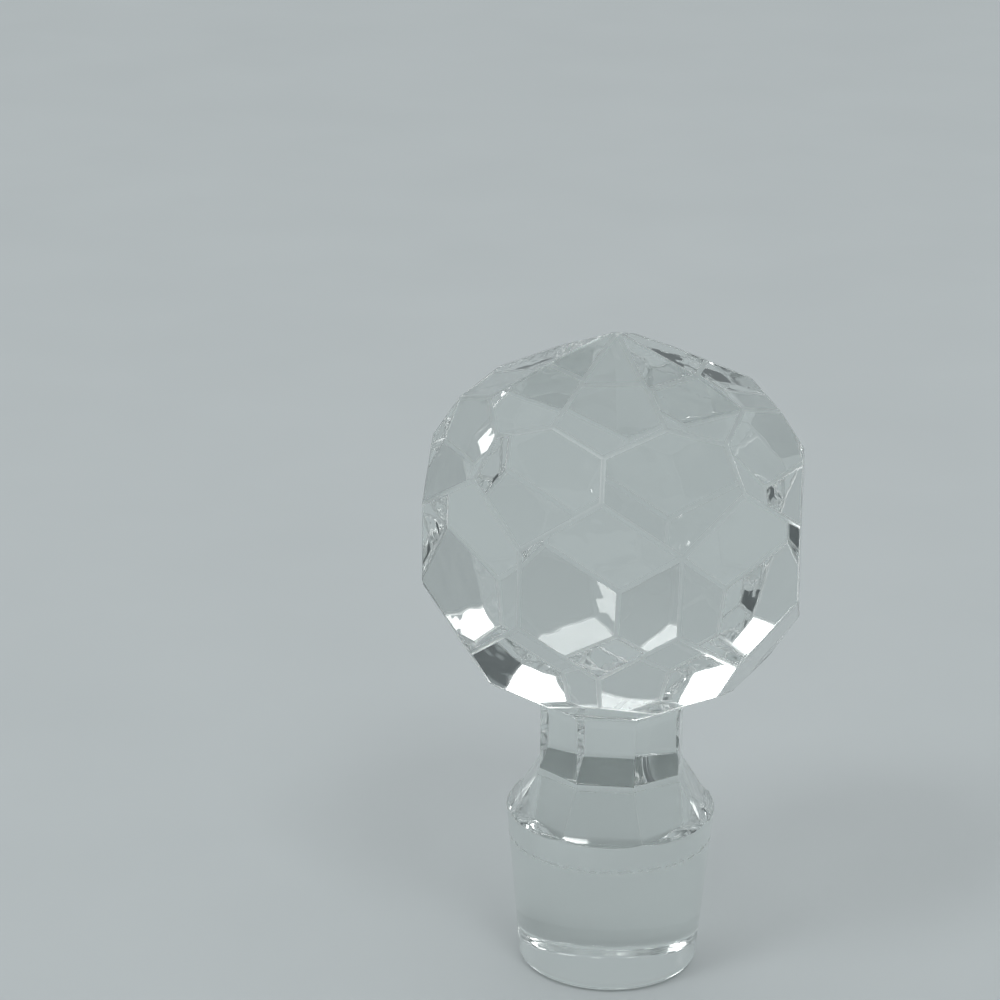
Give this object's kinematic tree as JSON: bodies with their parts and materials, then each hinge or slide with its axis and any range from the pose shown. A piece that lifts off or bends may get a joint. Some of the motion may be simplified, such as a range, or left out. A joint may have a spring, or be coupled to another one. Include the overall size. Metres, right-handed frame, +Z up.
{
  "type": "glass decanter stopper",
  "caption": "Solid cut-glass bottle stopper: a faceted ball with a low point, a short panelled neck and a tapered round plug that closes a decanter's neck.",
  "frame": {"origin": "centre of the plug's flat end, on the stopper's axis", "axes": "+Z up the axis to the point of the ball; one upright flat of the ball and one panel of the neck face -Y"},
  "size_m": [0.047, 0.047, 0.0856],
  "materials": {
    "clear_cut_glass": "clear colourless crystal, ground flats polished bright, plug ground and polished"
  },
  "bodies": {
    "root": {"stopper": "clear_cut_glass"}
  },
  "joints": []
}
